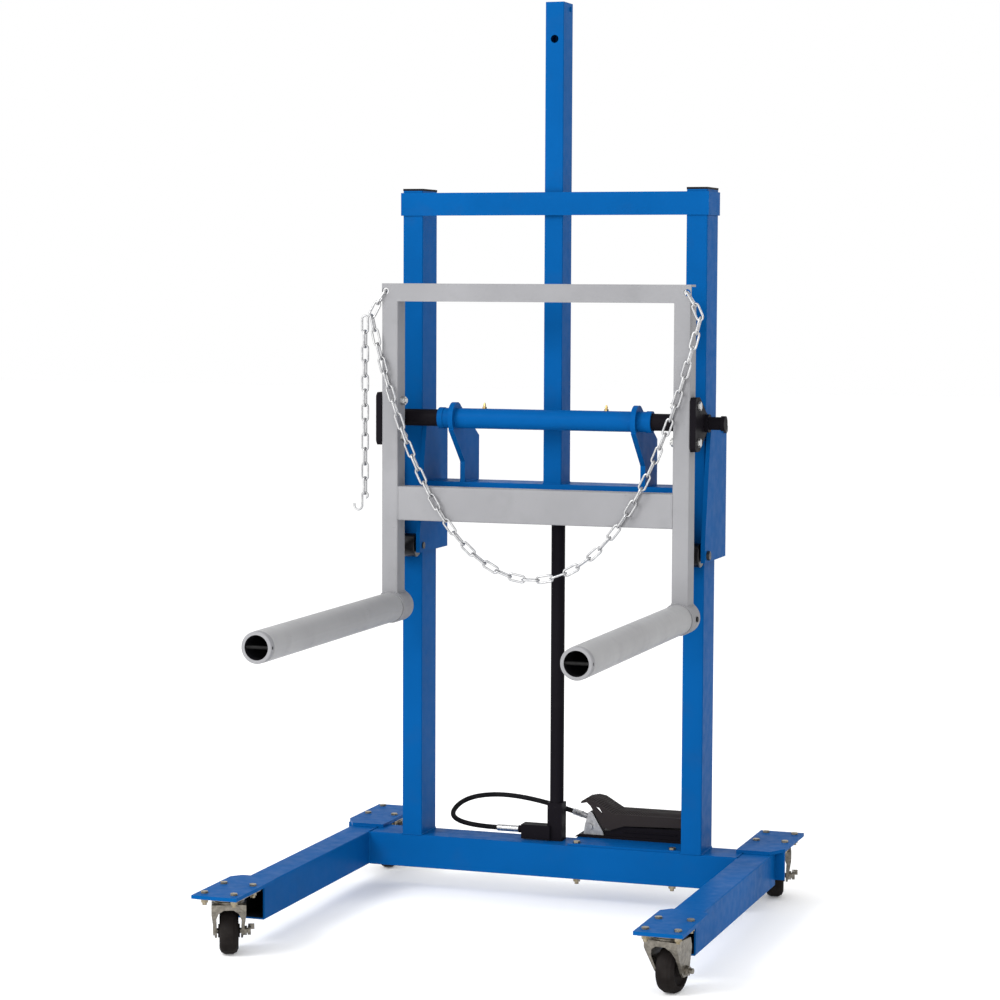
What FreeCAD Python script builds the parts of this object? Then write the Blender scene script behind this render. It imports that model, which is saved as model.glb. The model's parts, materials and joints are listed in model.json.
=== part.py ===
"""Wheel dolly for trucks and buses: a rolling base, a hydraulic lift carriage and a tilting fork frame.

Millimetres. +X is the operator's right, +Y points to the rear, +Z is up. The origin is on the floor,
in the middle of the machine's outer box. The helper node() takes Y from the uprights' front face.
"""
import FreeCAD
import Part
import Sketcher
import math
import os
import re
from FreeCAD import Placement, Rotation, Vector

SIZES = {
    # base
    "face_y": 311.5,            # the uprights' front face, from the origin
    "floor_gap": 60.0,          # floor to the underside of the legs
    "leg_height": 80.0,
    "leg_width": 70.0,
    "leg_offset": 496.0,
    "leg_front": -638.0,
    "beam_depth": 100.0,
    "wall": 4.0,
    "corner": 7.0,
    "caster_offset": 499.5,
    "front_caster_y": -745.0,
    "rear_caster_y": 230.0,
    "plate_width": 107.0,
    "plate_thick": 8.0,
    "plate_overhang": 80.0,
    # mast
    "upright_offset": 350.0,
    "upright_width": 50.0,
    "upright_depth": 100.0,
    "upright_top": 1696.0,
    "strap_low": 1637.0,
    "strap_high": 1691.0,
    # casters
    "wheel_radius": 51.0,
    "wheel_width": 42.0,
    "trail": 22.0,
    "yoke_width": 60.0,
    "yoke_wall": 4.0,
    "yoke_top": 121.0,
    "axle_radius": 6.0,
    "kingpin_radius": 8.0,
    "running_gap": 0.05,
    # carriage
    "bar_low": 923.0,
    "bar_high": 1003.0,
    "bar_front": 2.0,
    "bar_depth": 100.0,
    "bracket_inner": 312.0,
    "bracket_outer": 390.0,
    "bracket_thick": 10.0,
    "bracket_low": 834.0,
    "bracket_high": 1161.0,
    "bracket_rear": 143.0,
    "post_width": 45.0,
    "post_depth": 72.0,
    "post_front": 8.0,
    "post_top": 2134.0,
    "post_wall": 3.0,
    "pin_height": 2120.0,
    "ear_offset": 230.0,
    "ear_thick": 12.0,
    "ear_radius": 38.0,
    "front_roller_radius": 28.0,
    "rear_roller_radius": 16.0,
    "front_roller_z": 850.0,
    "rear_roller_z": 1138.0,
    "roller_gap": 0.4,
    "roller_length": 50.0,
    "roller_bolt_radius": 8.0,
    # tilt shaft
    "shaft_y": -49.0,
    "shaft_z": 1158.0,
    "shaft_radius": 20.0,
    "journal_radius": 15.0,
    "torque_radius": 24.0,
    "torque_half": 262.0,
    # tilting fork frame
    "frame_front": -140.0,
    "frame_half": 375.0,
    "frame_post_width": 40.0,
    "frame_post_depth": 50.0,
    "frame_top": 1476.0,
    "top_bar_height": 42.0,
    "low_bar_low": 919.0,
    "low_bar_height": 80.0,
    "low_bar_depth": 42.0,
    "fork_offset": 352.0,
    "fork_z": 712.0,
    "fork_tip": -928.0,
    "fork_rear": -84.0,
    "pipe_radius": 31.0,
    "pipe_bore": 27.0,
    "sleeve_radius": 35.0,
    "socket_radius": 38.0,
    "socket_front": -150.0,
    "hub_thick": 14.0,
    "hub_bolt_y": -113.0,
    "hub_bolt_rise": 42.0,
    # hydraulics
    "cylinder_y": 60.0,
    "barrel_radius": 16.5,
    "barrel_bore": 12.5,
    "barrel_low": 232.0,
    "barrel_high": 1140.0,
    "rod_radius": 9.0,
    "piston_low": 815.0,
    # foot pump
    "pump_left": 57.0,
    "pump_right": 325.0,
    "pump_front": 88.0,
    "pump_rear": 186.0,
    "tray_thick": 5.0,
    "treadle_x": 146.0,
    "treadle_z": 187.0,
    # hose and chain
    "hose_radius": 6.0,
    "link_wire": 2.5,
    "link_bend": 7.5,
    "link_straight": 25.0,
    "chain_y": -151.5,
    "chain_half": 400.0,
    "chain_high": 1405.0,
    "chain_low": 790.0,
    "eye_x": 366.0,
    "eye_z": 1458.0,
}

ALONG_X = Rotation(Vector(0, 1, 0), 90)
ALONG_Y = Rotation(Vector(1, 0, 0), -90)
UPRIGHT = Rotation()

doc = FreeCAD.newDocument("wheel_dolly")
sheet = doc.addObject("Spreadsheet::Sheet", "Sizes")
for row, (alias, number) in enumerate(SIZES.items(), start=1):
    sheet.set(f"A{row}", alias.replace("_", " "))
    sheet.set(f"B{row}", str(number))
    sheet.setAlias(f"B{row}", alias)
doc.recompute()

nodes = []


def formula(text):
    """The text with each size's name pointing at its cell."""
    def cell(word):
        return "Sizes." + word.group() if word.group() in SIZES else word.group()
    return re.sub(r"[a-z][a-z_]*", cell, str(text))


def size(text):
    """The number that a formula gives."""
    return float(sheet.evalExpression(formula(text)))


def bind(thing, **formulas):
    for name, text in formulas.items():
        thing.setExpression(name, formula(text))


def node(thing, label, x=0, y=0, z=0, turn=UPRIGHT):
    """Name a finished sub-part and put it in its place; y counts from the uprights' front face."""
    doc.recompute()
    thing.Label = label
    thing.Placement = Placement(Vector(size(x), size(y) + size("face_y"), size(z)), turn)
    nodes.append(thing)
    return thing


# ---- sketched pieces ------------------------------------------------------------------------

def pin_point(sketch, geometry, point, x, y):
    for kind, text in (("DistanceX", x), ("DistanceY", y)):
        constraint = Sketcher.Constraint(kind, -1, 1, geometry, point, size(text))
        index = sketch.addConstraint(constraint)
        sketch.setExpression(f"Constraints[{index}]", formula(text))


def draw_outline(sketch, corners):
    points = [Vector(size(x), size(y), 0) for x, y in corners]
    first = sketch.GeometryCount
    count = len(points)
    for i in range(count):
        sketch.addGeometry(Part.LineSegment(points[i], points[(i + 1) % count]))
    for i in range(count):
        following = first + (i + 1) % count
        sketch.addConstraint(Sketcher.Constraint("Coincident", first + i, 2, following, 1))
        pin_point(sketch, first + i, 1, *corners[i])


def draw_circle(sketch, x, y, radius):
    circle = Part.Circle(Vector(size(x), size(y), 0), Vector(0, 0, 1), size(radius))
    index = sketch.addGeometry(circle)
    pin_point(sketch, index, 3, x, y)
    constraint = sketch.addConstraint(Sketcher.Constraint("Radius", index, size(radius)))
    sketch.setExpression(f"Constraints[{constraint}]", formula(radius))


def new_sketch(body, plane, outlines, circles):
    sketch = body.newObject("Sketcher::SketchObject", body.Name + "_sketch")
    support = next(item for item in body.Origin.OriginFeatures if item.Role == plane)
    sketch.AttachmentSupport = [(support, "")]
    sketch.MapMode = "FlatFace"
    for corners in outlines:
        draw_outline(sketch, corners)
    for circle in circles:
        draw_circle(sketch, *circle)
    doc.recompute()
    return sketch


def long_edges(shape, direction):
    """The names of the straight edges that run along a direction."""
    names = []
    for number, edge in enumerate(shape.Edges, start=1):
        if isinstance(edge.Curve, Part.Line) and abs(edge.tangentAt(0).dot(direction)) > 0.999:
            names.append(f"Edge{number}")
    return names


NORMALS = {"XY_Plane": Vector(0, 0, 1), "XZ_Plane": Vector(0, 1, 0), "YZ_Plane": Vector(1, 0, 0)}


def extruded(name, plane, outlines, length, circles=(), rounding=None):
    """A sketch pushed out along its plane's normal, with its long edges rounded."""
    body = doc.addObject("PartDesign::Body", name)
    sketch = new_sketch(body, plane, outlines, circles)
    pad = body.newObject("PartDesign::Pad", name + "_pad")
    pad.Profile = sketch
    bind(pad, Length=length)
    sketch.Visibility = False
    doc.recompute()
    if rounding is not None:
        fillet = body.newObject("PartDesign::Fillet", name + "_rounding")
        fillet.Base = (pad, long_edges(pad.Shape, NORMALS[plane]))
        bind(fillet, Radius=rounding)
        doc.recompute()
    return body


def turned(name, corners):
    """A profile of (radius, height) corners turned about the Z axis."""
    body = doc.addObject("PartDesign::Body", name)
    sketch = new_sketch(body, "XZ_Plane", [corners], ())
    revolution = body.newObject("PartDesign::Revolution", name + "_turn")
    revolution.Profile = sketch
    revolution.ReferenceAxis = (sketch, ["V_Axis"])
    revolution.Angle = 360
    doc.recompute()
    return body


def rectangle(x_low, y_low, x_high, y_high):
    return [(x_low, y_low), (x_high, y_low), (x_high, y_high), (x_low, y_high)]


def box_tube(name, plane, wide, tall, wall, length, rounding="3"):
    """A rectangular steel tube, its section standing on the middle of its lower edge."""
    outer = rectangle(f"-({wide})/2", "0", f"({wide})/2", tall)
    inner = rectangle(f"-({wide})/2+{wall}", wall, f"({wide})/2-{wall}", f"({tall})-{wall}")
    return extruded(name, plane, [outer, inner], length, rounding=rounding)


# ---- primitives -----------------------------------------------------------------------------

def block(name, dx, dy, dz, x="0", y="0", z="0"):
    thing = doc.addObject("Part::Box", name)
    bind(thing, Length=dx, Width=dy, Height=dz)
    thing.Placement.Base = Vector(size(x), size(y), size(z))
    return thing


def rod(name, radius, length, x="0", y="0", z="0", turn=UPRIGHT):
    thing = doc.addObject("Part::Cylinder", name)
    bind(thing, Radius=radius, Height=length)
    thing.Placement = Placement(Vector(size(x), size(y), size(z)), turn)
    return thing


def hexagon(name, radius, length, x="0", y="0", z="0", turn=UPRIGHT):
    thing = doc.addObject("Part::Prism", name)
    thing.Polygon = 6
    bind(thing, Circumradius=radius, Height=length)
    thing.Placement = Placement(Vector(size(x), size(y), size(z)), turn)
    return thing


def cut(name, base, tools):
    thing = doc.addObject("Part::Cut", name)
    thing.Base = base
    thing.Tool = tools[0] if len(tools) == 1 else joined(name + "_tools", tools)
    doc.recompute()
    return thing


def joined(name, pieces):
    thing = doc.addObject("Part::MultiFuse", name)
    thing.Shapes = pieces
    thing.Refine = True
    doc.recompute()
    return thing


def common(name, first, second):
    thing = doc.addObject("Part::MultiCommon", name)
    thing.Shapes = [first, second]
    doc.recompute()
    return thing


def group(name, pieces):
    thing = doc.addObject("Part::Compound", name)
    thing.Links = pieces
    doc.recompute()
    return thing


def bolt(name, shank, length, head, x="0", y="0", z="0", turn=UPRIGHT, nut_at=None):
    """A hexagon bolt with its head below the place given and its shank along local Z.

    nut_at is the distance from under the head to the near face of the nut, where it has one."""
    place = Placement(Vector(size(x), size(y), size(z)), turn)
    pieces = [hexagon(name + "_head", head, f"({shank})*0.9", z=f"-({shank})*0.9"),
              rod(name + "_shank", shank, length)]
    if nut_at is not None:
        pieces.append(hexagon(name + "_nut", head, f"({shank})*1.6", z=nut_at))
    thing = joined(name, pieces)
    thing.Placement = place
    return thing


# ---- base -----------------------------------------------------------------------------------

def make_base():
    leg_length = "beam_depth-5-leg_front"
    for side, sign in (("left", -1), ("right", 1)):
        leg = box_tube(f"leg_{side}", "XZ_Plane", "leg_width", "leg_height", "wall", leg_length)
        node(leg, f"leg_{side}", f"{sign}*leg_offset", "beam_depth-5", "floor_gap")

        upright = box_tube(f"upright_{side}", "XY_Plane", "upright_width", "upright_depth", "wall",
                           "upright_top-floor_gap-leg_height")
        node(upright, f"upright_{side}", f"{sign}*upright_offset", 0, "floor_gap+leg_height")

    beam = box_tube("beam_tube", "YZ_Plane", "beam_depth", "leg_height", "wall",
                    "2*leg_offset-leg_width")
    holes = [rod(f"beam_hole_{i}", "5.5", "leg_height+20", f"leg_offset-leg_width/2+{x}", "-32", "-10")
             for i, x in enumerate((64, 300))]
    crossbeam = cut("crossbeam", beam, holes)
    node(crossbeam, "crossbeam", "leg_width/2-leg_offset", "beam_depth/2", "floor_gap")

    reach = "upright_offset+upright_width/2"
    strap = extruded("top_strap", "XY_Plane", [[
        (f"-({reach})-wall", "-wall"), (f"{reach}+wall", "-wall"),
        (f"{reach}+wall", "upright_depth"), (reach, "upright_depth"), (reach, "0"),
        (f"-({reach})", "0"), (f"-({reach})", "upright_depth"),
        (f"-({reach})-wall", "upright_depth")]], "strap_high-strap_low")
    node(strap, "top_strap", 0, 0, "strap_low")

    caps = []
    for side, sign in (("left", -1), ("right", 1)):
        lid = block(f"cap_{side}_lid", "upright_width", "upright_depth", "5",
                    f"{sign}*upright_offset-upright_width/2")
        plug = block(f"cap_{side}_plug", "upright_width-2*wall-0.6", "upright_depth-2*wall-0.6",
                     "18", f"{sign}*upright_offset-upright_width/2+wall+0.3", "wall+0.3", "-18")
        caps.append(joined(f"cap_{side}", [lid, plug]))
    node(group("upright_caps", caps), "upright_caps", 0, 0, "upright_top")


BOLT_X = 35
BOLT_Y = 51


def make_caster_plates():
    corners = [(x, y) for x in (-BOLT_X, BOLT_X) for y in (-BOLT_Y, BOLT_Y)]
    holes = [(x, y, "5") for x, y in corners]
    half = "plate_width/2"
    for side, sign in (("left", -1), ("right", 1)):
        place_x = f"{sign}*caster_offset"
        front = extruded(f"front_plate_{side}", "XY_Plane", [[
            (f"-({half})", "-plate_overhang"), (half, "-plate_overhang"), (half, "128"),
            (f"{half}-20", "150"), (f"-({half})+20", "150"), (f"-({half})", "128")]],
            "plate_thick", holes)
        node(front, f"front_plate_{side}", place_x, "front_caster_y", "floor_gap+leg_height")

        deck = extruded(f"rear_deck_{side}", "XY_Plane", [[
            (f"{-sign}*({half})", "-175"), (f"{sign}*({half}-26)", "-175"),
            (f"{sign}*({half})", "-128"), (f"{sign}*({half})", "75"), (f"{-sign}*({half})", "75")]],
            "plate_thick", holes)
        edge = "leg_offset-leg_width/2-caster_offset"
        flange = block(f"rear_flange_{side}", f"{half}-({edge})", "plate_thick", "leg_height-14",
                       edge if sign > 0 else f"-({half})", "beam_depth-5-rear_caster_y",
                       "14-leg_height")
        bracket = joined(f"rear_bracket_{side}", [deck, flange])
        node(bracket, f"rear_bracket_{side}", place_x, "rear_caster_y", "floor_gap+leg_height")


CASTERS = (
    # name, side, row, swivel angle at rest, with a brake
    ("front_left", -1, "front_caster_y", 24, True),
    ("front_right", 1, "front_caster_y", -10, False),
    ("rear_left", -1, "rear_caster_y", 20, False),
    ("rear_right", 1, "rear_caster_y", 14, True),
)


def caster_mount(name):
    """The bolted top plate with its upper ball race and the kingpin hanging from it."""
    plate = extruded(name + "_plate", "XY_Plane", [rectangle("-48", "-64", "48", "64")], "4.5",
                     [(x, y, "5") for x in (-BOLT_X, BOLT_X) for y in (-BOLT_Y, BOLT_Y)])
    plate.Placement.Base.z = size("floor_gap+leg_height-4.5")
    race = turned(name + "_race", [
        ("0", "floor_gap+leg_height-4.5"), ("0", "112"), ("11.5", "112"),
        ("11.5", "yoke_top-yoke_wall-0.6"), ("kingpin_radius", "yoke_top-yoke_wall-0.6"),
        ("kingpin_radius", "127.4"), ("36", "127.4"), ("36", "131"),
        ("30", "floor_gap+leg_height-4.5")])
    return joined(name, [plate, race])


def yoke(name):
    """The forked swivel: a crown with the lower ball race and two cheeks down to the axle."""
    half = "yoke_width/2"
    flare = "yoke_width/2+8"
    arch = extruded(name + "_arch", "XZ_Plane", [[
        (f"-({half})", "30"), (f"-({half})+yoke_wall", "30"), (f"-({flare})+yoke_wall+6", "84"),
        ("-22", "101"), ("-11", "109"), ("11", "109"), ("22", "101"), (f"{flare}-yoke_wall-6", "84"),
        (f"{half}-yoke_wall", "30"), (half, "30"), (f"{flare}", "98"), (f"{flare}", "yoke_top"),
        (f"-({flare})", "yoke_top"), (f"-({flare})", "98")]], "110")
    arch.Placement.Base.y = 60
    profile = extruded(name + "_side", "YZ_Plane", [[
        ("-38", "yoke_top"), ("-38", "yoke_top-15"), ("trail-20", "wheel_radius-4"),
        ("trail-9", "wheel_radius-14"), ("trail+9", "wheel_radius-14"),
        ("trail+16", "wheel_radius-4"), ("trail+14", "yoke_top-15"), ("trail+8", "yoke_top")]],
        "yoke_width+30")
    profile.Placement.Base.x = -size("yoke_width/2+15")
    cheeks = common(name + "_cheeks", arch, profile)
    race = turned(name + "_lower_race", [
        ("kingpin_radius", "yoke_top"), ("34", "yoke_top"), ("34", "125"), ("31", "127"),
        ("kingpin_radius", "127")])
    whole = joined(name + "_whole", [cheeks, race])
    bore = rod(name + "_bore", "kingpin_radius+running_gap", "30", z="yoke_top-15")
    recess = rod(name + "_recess", "12.5", "30", z="yoke_top-yoke_wall-30")
    axle_hole = rod(name + "_axle_hole", "axle_radius", "100", "-50", "trail", "wheel_radius", ALONG_X)
    shell = cut(name + "_shell", whole, [bore, recess, axle_hole])
    axle = bolt(name + "_axle", "axle_radius", "yoke_width+18", "10.5", f"-({half})", "trail",
                "wheel_radius", ALONG_X, nut_at="yoke_width")
    return group(name, [shell, axle])


def wheel(name):
    """A rubber tyre on a flanged hub; its axis lies along local Z until it is placed."""
    half = "wheel_width/2"
    return turned(name, [
        ("axle_radius+running_gap", f"-({half})-3"), ("15", f"-({half})-3"), ("15", f"-({half})+6"),
        ("33", f"-({half})+6"), ("35", f"-({half})"), ("wheel_radius-12", f"-({half})"),
        ("wheel_radius-4", f"-({half})+4"), ("wheel_radius", f"-({half})+12"),
        ("wheel_radius", f"{half}-12"), ("wheel_radius-4", f"{half}-4"), ("wheel_radius-12", half),
        ("35", half), ("33", f"{half}-6"), ("15", f"{half}-6"), ("15", f"{half}+3"),
        ("axle_radius+running_gap", f"{half}+3")])


def brake_lever(name):
    """The side lock: a boss on the axle's end and a short arm with its tip bent outwards."""
    boss = rod(name + "_boss", "10", "7", turn=ALONG_X)
    arm = block(name + "_arm", "4", "34", "12", "1", "4", "-6")
    tip = block(name + "_tip", "14", "4", "12", "1", "36", "-6")
    lever = joined(name + "_solid", [boss, arm, tip])
    bore = rod(name + "_bore", "axle_radius+running_gap", "20", "-5", turn=ALONG_X)
    return cut(name, lever, [bore])


def make_casters():
    mounts = []
    fixings = []
    for name, side, row, angle, braked in CASTERS:
        x = f"{side}*caster_offset"
        mount = caster_mount(f"mount_{name}")
        mount.Placement.Base = Vector(size(x), size(row), 0)
        mounts.append(mount)
        for index, (dx, dy) in enumerate((dx, dy) for dx in (-BOLT_X, BOLT_X)
                                         for dy in (-BOLT_Y, BOLT_Y)):
            fixings.append(bolt(f"fixing_{name}_{index}", "5", "plate_thick+18", "8.5",
                                f"{x}+{dx}", f"{row}+{dy}", "floor_gap+leg_height+plate_thick",
                                Rotation(Vector(1, 0, 0), 180), nut_at="plate_thick+4.5"))
        swing = Rotation(Vector(0, 0, 1), angle)
        node(yoke(f"caster_yoke_{name}"), f"caster_yoke_{name}", x, row, 0, swing)
        hub = swing.multVec(Vector(0, size("trail"), 0))
        roller = wheel(f"caster_wheel_{name}")
        node(roller, f"caster_wheel_{name}", size(x) + hub.x, size(row) + hub.y, "wheel_radius",
             swing.multiply(ALONG_X))
        if braked:
            end = swing.multVec(Vector(size("yoke_width/2+11"), size("trail"), 0))
            node(brake_lever(f"brake_{name}"), f"brake_{name}", size(x) + end.x, size(row) + end.y,
                 "wheel_radius", swing)
    node(group("caster_mounts", mounts), "caster_mounts")
    fixings += [bolt(f"tray_bolt_{i}", "5", "leg_height+tray_thick+14", "9", str(x), "18",
                     "floor_gap+leg_height+tray_thick", Rotation(Vector(1, 0, 0), 180),
                     nut_at="leg_height+tray_thick") for i, x in enumerate((64, 300))]
    node(group("base_bolt_group", fixings), "base_bolts")


# ---- hydraulics -----------------------------------------------------------------------------

def make_cylinder():
    height = "barrel_low-floor_gap-leg_height"
    body = block("block_body", "36", "36", height, "-18", "-18")
    port = block("block_port", "72", "34", "34", "-82", "-26", "3")
    neck = rod("block_neck", "9", "14", "-96", "1", "20", ALONG_X)
    node(joined("block_solid", [body, port, neck]), "cylinder_block", 0, "cylinder_y",
         "floor_gap+leg_height")
    barrel = turned("cylinder_barrel", [
        ("0", "0"), ("barrel_radius", "0"), ("barrel_radius", "barrel_high-barrel_low"),
        ("rod_radius+running_gap", "barrel_high-barrel_low"),
        ("rod_radius+running_gap", "barrel_high-barrel_low-14"),
        ("barrel_bore", "barrel_high-barrel_low-14"), ("barrel_bore", "6"), ("0", "6")])
    node(barrel, "cylinder_barrel", 0, "cylinder_y", "barrel_low")
    rise = "post_top-piston_low-6"
    ram = turned("ram_solid", [
        ("0", "0"), ("barrel_bore-running_gap", "0"), ("barrel_bore-running_gap", "30"),
        ("rod_radius", "30"), ("rod_radius", rise), ("0", rise)])
    eye = rod("ram_eye", "axle_radius", "40", "-20", "0", "pin_height-piston_low", ALONG_X)
    node(cut("ram_rod", ram, [eye]), "ram_rod", 0, "cylinder_y", "piston_low")


# The hose's route, from the pump's fitting round behind the cylinder to the elbow block.
HOSE_ROUTE = [(28, 114, 201), (-120, 176, 224), (-284, 190, 208), (-286, 61, 160),
              (-150, 61, 160)]
FERRULES = {"pump": 26, "elbow": 54}
TREADLE_WALL = 4


def make_pump():
    """The foot pump; its sections are drawn in X and height above the floor."""
    front = "pump_front"
    depth = "pump_rear-pump_front"
    tray = extruded("tray_plate", "XY_Plane", [rectangle("45", "4", "pump_right", "pump_rear+4")],
                    "tray_thick", [("64", "18", "5.5"), ("300", "18", "5.5")])
    node(tray, "pump_tray", 0, 0, "floor_gap+leg_height")

    def section(name, outlines, front_y, thick):
        piece = extruded(name, "XZ_Plane", outlines, str(thick))
        piece.Placement.Base.y = size(f"{front_y}+{thick}")
        return piece

    foot = section("pump_foot", [[("36", "145"), ("pump_right", "145"), ("pump_right", "152"),
                                  ("48", "152")]], front, f"({depth})")
    case = section("pump_case", [[("112", "152"), ("318", "152"), ("318", "176"), ("134", "176"),
                                  ("126", "164"), ("112", "164")]], f"{front}+5", f"({depth}-10)")
    rail = block("pump_rail", "130", "3", "3", "160", f"{front}+2.5", "163")
    lugs = [section(f"pump_lug_{i}", [[("134", "152"), ("158", "152"), ("154", "197"), ("138", "197")]],
                    y, 8) for i, y in enumerate((f"{front}+5", "pump_rear-13"))]
    pivot_hole = rod("pump_pivot_hole", "5+running_gap", "200", "treadle_x", "0", "treadle_z", ALONG_Y)
    whole = joined("pump_whole", [foot, case, rail] + lugs)
    node(cut("pump_drilled", whole, [pivot_hole]), "pump_body")

    casting = section("valve_casting", [
        [("58", "152"), ("108", "152"), ("106", "160"), ("80", "204"), ("75", "208"), ("69", "205"),
         ("60", "172")]], f"{front}+5", 24)
    boss = rod("valve_boss", "7", "6", "74", front, "172", ALONG_Y)
    way = (Vector(*HOSE_ROUTE[0]) - Vector(*HOSE_ROUTE[1])).normalize()
    port = doc.addObject("Part::Cylinder", "valve_port")
    bind(port, Radius="7", Height="18")
    port.Placement = Placement(Vector(*HOSE_ROUTE[0]) + way * FERRULES["pump"],
                               Rotation(Vector(0, 0, 1), way))
    node(joined("valve_solid", [casting, boss, port]), "pump_valve")

    deck = section("treadle_deck", [[
        ("52", "231"), ("70", "235"), ("88", "232"), ("132", "206"), ("pump_right-2.5", "206"),
        ("pump_right-2.5", "202"), ("131", "202"), ("87", "228"), ("70", "231"), ("52", "227")]],
        front, f"({depth})")
    cheeks = [section(f"treadle_cheek_{i}", [
        [("66", "231"), ("88", "230"), ("132", "204"), ("pump_right-2.5", "204"),
         ("pump_right-2.5", "184"), ("160", "178"), ("128", "167"), ("107", "171"), ("76", "222")],
        [("89", "221"), ("98", "219"), ("109", "202")]], y, TREADLE_WALL)
        for i, y in enumerate((front, f"pump_rear-{TREADLE_WALL}"))]
    pivot = rod("treadle_pivot", "5", depth, "treadle_x", front, "treadle_z", ALONG_Y)
    node(joined("treadle_solid", [deck] + cheeks + [pivot]), "pump_treadle")


def hose_arcs(points):
    """The straight runs and the tangent arcs of a bent hose, and the arcs' radii."""
    edges = []
    radii = []
    start = points[0]
    for before, corner, after in zip(points, points[1:], points[2:]):
        into = (corner - before).normalize()
        out = (after - corner).normalize()
        turn = into.getAngle(out)
        reach = 0.45 * min((corner - before).Length, (after - corner).Length)
        radius = reach / math.tan(turn / 2)
        first = corner - into * reach
        last = corner + out * reach
        inward = (out - into).normalize()
        middle = corner + inward * (radius / math.cos(turn / 2) - radius)
        edges.append(Part.LineSegment(start, first).toShape())
        edges.append(Part.Arc(first, middle, last).toShape())
        radii.append(radius)
        start = last
    edges.append(Part.LineSegment(start, points[-1]).toShape())
    return edges, radii


def make_hose():
    points = [Vector(*point) for point in HOSE_ROUTE]
    edges, radii = hose_arcs(points)
    path = Part.Wire(edges)
    section = Part.Wire(Part.Circle(points[0], points[1] - points[0], size("hose_radius")).toShape())
    tube = path.makePipeShell([section], True, True)
    hose = doc.addObject("Part::Feature", "hose")
    hose.Shape = tube
    expected = math.pi * size("hose_radius") ** 2 * path.Length
    print("hose radii", [round(radius) for radius in radii], "length", round(path.Length),
          "volume ratio", round(tube.Volume / expected, 4))
    node(hose, "hose")

    ends = []
    for name, turn in (("pump", points[0] - points[1]), ("elbow", points[-1] - points[-2])):
        grip = doc.addObject("Part::Cylinder", f"ferrule_{name}")
        bind(grip, Radius="hose_radius+2", Height=str(FERRULES[name]))
        start = points[0] if name == "pump" else points[-1]
        grip.Placement = Placement(start, Rotation(Vector(0, 0, 1), turn))
        ends.append(grip)
    node(group("ferrule_pair", ends), "hose_ferrules")


# ---- lift carriage --------------------------------------------------------------------------

def carriage_bracket(side, sign):
    """A folded bracket round the back of an upright that holds the rollers before and behind it."""
    inner = "bracket_inner"
    outer = "bracket_outer"
    thick = "bracket_thick"
    rear = "bracket_rear"
    channel = extruded(f"channel_{side}", "XY_Plane", [[
        (f"{sign}*{inner}", "-60"), (f"{sign}*({inner}+{thick})", "-60"),
        (f"{sign}*({inner}+{thick})", f"{rear}-8"), (f"{sign}*({outer}-{thick})", f"{rear}-8"),
        (f"{sign}*({outer}-{thick})", "-60"), (f"{sign}*{outer}", "-60"), (f"{sign}*{outer}", rear),
        (f"{sign}*{inner}", rear)]], "bracket_high-bracket_low")
    channel.Placement.Base.z = size("bracket_low")
    outline = extruded(f"bracket_outline_{side}", "YZ_Plane", [[
        ("-50", "bracket_low"), (rear, "bracket_low"), (rear, "bracket_high"),
        ("2", "bracket_high"), ("-12", "bracket_high-55"), ("-38", "952"), ("-50", "880")]],
        "bracket_outer*2+20")
    outline.Placement.Base.x = -size("bracket_outer+10")
    plates = common(f"bracket_plates_{side}", channel, outline)
    holes = [rod(f"bracket_hole_{side}_{i}", "roller_bolt_radius", "120", f"{sign}*351-60", y, z,
                 ALONG_X) for i, (y, z) in enumerate(ROLLER_PLACES)]
    return cut(f"carriage_bracket_{side}", plates, holes)


ROLLER_PLACES = (
    ("-front_roller_radius-roller_gap", "front_roller_z"),
    ("upright_depth+rear_roller_radius+roller_gap", "rear_roller_z"),
)


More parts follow.
